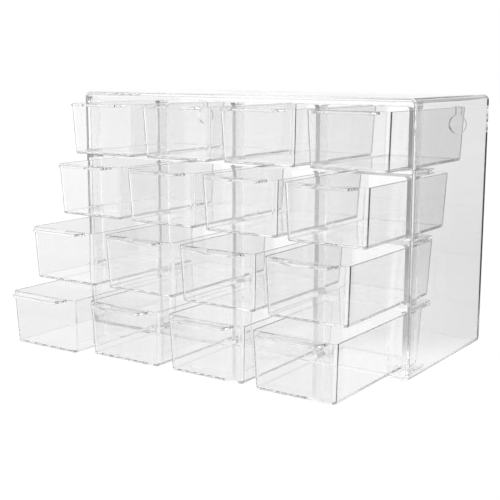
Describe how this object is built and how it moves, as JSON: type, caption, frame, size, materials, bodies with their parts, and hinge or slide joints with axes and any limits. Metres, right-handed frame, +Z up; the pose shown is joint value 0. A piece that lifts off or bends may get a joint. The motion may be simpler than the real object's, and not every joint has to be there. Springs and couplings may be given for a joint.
{
  "type": "drawer cabinet",
  "caption": "Clear plastic tabletop cabinet with a grid of open-topped sliding drawers, each with a flat pull tab, and keyholes in the back for hanging.",
  "frame": {"origin": "centre of the case's underside, on the surface it stands on", "axes": "+X to the right seen from the front, +Y from the front to the back, +Z up"},
  "size_m": [0.3402, 0.2686, 0.2236],
  "materials": {
    "case": "clear polished moulded polystyrene, rounded outside edges",
    "front_frame": "clear polished moulded polystyrene",
    "drawer": "clear polished moulded polystyrene, thin walls"
  },
  "bodies": {
    "cabinet": {"case": "case", "front_frame": "front_frame"},
    "drawer_row_1_column_1": {"drawer_row_1_column_1": "drawer"},
    "drawer_row_1_column_2": {"drawer_row_1_column_2": "drawer"},
    "drawer_row_1_column_3": {"drawer_row_1_column_3": "drawer"},
    "drawer_row_1_column_4": {"drawer_row_1_column_4": "drawer"},
    "drawer_row_2_column_1": {"drawer_row_2_column_1": "drawer"},
    "drawer_row_2_column_2": {"drawer_row_2_column_2": "drawer"},
    "drawer_row_2_column_3": {"drawer_row_2_column_3": "drawer"},
    "drawer_row_2_column_4": {"drawer_row_2_column_4": "drawer"},
    "drawer_row_3_column_1": {"drawer_row_3_column_1": "drawer"},
    "drawer_row_3_column_2": {"drawer_row_3_column_2": "drawer"},
    "drawer_row_3_column_3": {"drawer_row_3_column_3": "drawer"},
    "drawer_row_3_column_4": {"drawer_row_3_column_4": "drawer"},
    "drawer_row_4_column_1": {"drawer_row_4_column_1": "drawer"},
    "drawer_row_4_column_2": {"drawer_row_4_column_2": "drawer"},
    "drawer_row_4_column_3": {"drawer_row_4_column_3": "drawer"},
    "drawer_row_4_column_4": {"drawer_row_4_column_4": "drawer"}
  },
  "joints": [
    {"name": "drawer_row_1_column_1_slide", "type": "slide", "parent": "cabinet", "child": "drawer_row_1_column_1", "axis": [0, -1, 0], "range_m": [-0.03, 0.09]},
    {"name": "drawer_row_1_column_2_slide", "type": "slide", "parent": "cabinet", "child": "drawer_row_1_column_2", "axis": [0, -1, 0], "range_m": [-0.029, 0.091]},
    {"name": "drawer_row_1_column_3_slide", "type": "slide", "parent": "cabinet", "child": "drawer_row_1_column_3", "axis": [0, -1, 0], "range_m": [-0.028, 0.092]},
    {"name": "drawer_row_1_column_4_slide", "type": "slide", "parent": "cabinet", "child": "drawer_row_1_column_4", "axis": [0, -1, 0], "range_m": [-0.027, 0.093]},
    {"name": "drawer_row_2_column_1_slide", "type": "slide", "parent": "cabinet", "child": "drawer_row_2_column_1", "axis": [0, -1, 0], "range_m": [-0.048, 0.072]},
    {"name": "drawer_row_2_column_2_slide", "type": "slide", "parent": "cabinet", "child": "drawer_row_2_column_2", "axis": [0, -1, 0], "range_m": [-0.05, 0.07]},
    {"name": "drawer_row_2_column_3_slide", "type": "slide", "parent": "cabinet", "child": "drawer_row_2_column_3", "axis": [0, -1, 0], "range_m": [-0.053, 0.067]},
    {"name": "drawer_row_2_column_4_slide", "type": "slide", "parent": "cabinet", "child": "drawer_row_2_column_4", "axis": [0, -1, 0], "range_m": [-0.059, 0.061]},
    {"name": "drawer_row_3_column_1_slide", "type": "slide", "parent": "cabinet", "child": "drawer_row_3_column_1", "axis": [0, -1, 0], "range_m": [-0.082, 0.038]},
    {"name": "drawer_row_3_column_2_slide", "type": "slide", "parent": "cabinet", "child": "drawer_row_3_column_2", "axis": [0, -1, 0], "range_m": [-0.08, 0.04]},
    {"name": "drawer_row_3_column_3_slide", "type": "slide", "parent": "cabinet", "child": "drawer_row_3_column_3", "axis": [0, -1, 0], "range_m": [-0.084, 0.036]},
    {"name": "drawer_row_3_column_4_slide", "type": "slide", "parent": "cabinet", "child": "drawer_row_3_column_4", "axis": [0, -1, 0], "range_m": [-0.086, 0.034]},
    {"name": "drawer_row_4_column_1_slide", "type": "slide", "parent": "cabinet", "child": "drawer_row_4_column_1", "axis": [0, -1, 0], "range_m": [-0.108, 0.012]},
    {"name": "drawer_row_4_column_2_slide", "type": "slide", "parent": "cabinet", "child": "drawer_row_4_column_2", "axis": [0, -1, 0], "range_m": [-0.1, 0.02]},
    {"name": "drawer_row_4_column_3_slide", "type": "slide", "parent": "cabinet", "child": "drawer_row_4_column_3", "axis": [0, -1, 0], "range_m": [-0.099, 0.021]},
    {"name": "drawer_row_4_column_4_slide", "type": "slide", "parent": "cabinet", "child": "drawer_row_4_column_4", "axis": [0, -1, 0], "range_m": [-0.102, 0.018]}
  ]
}
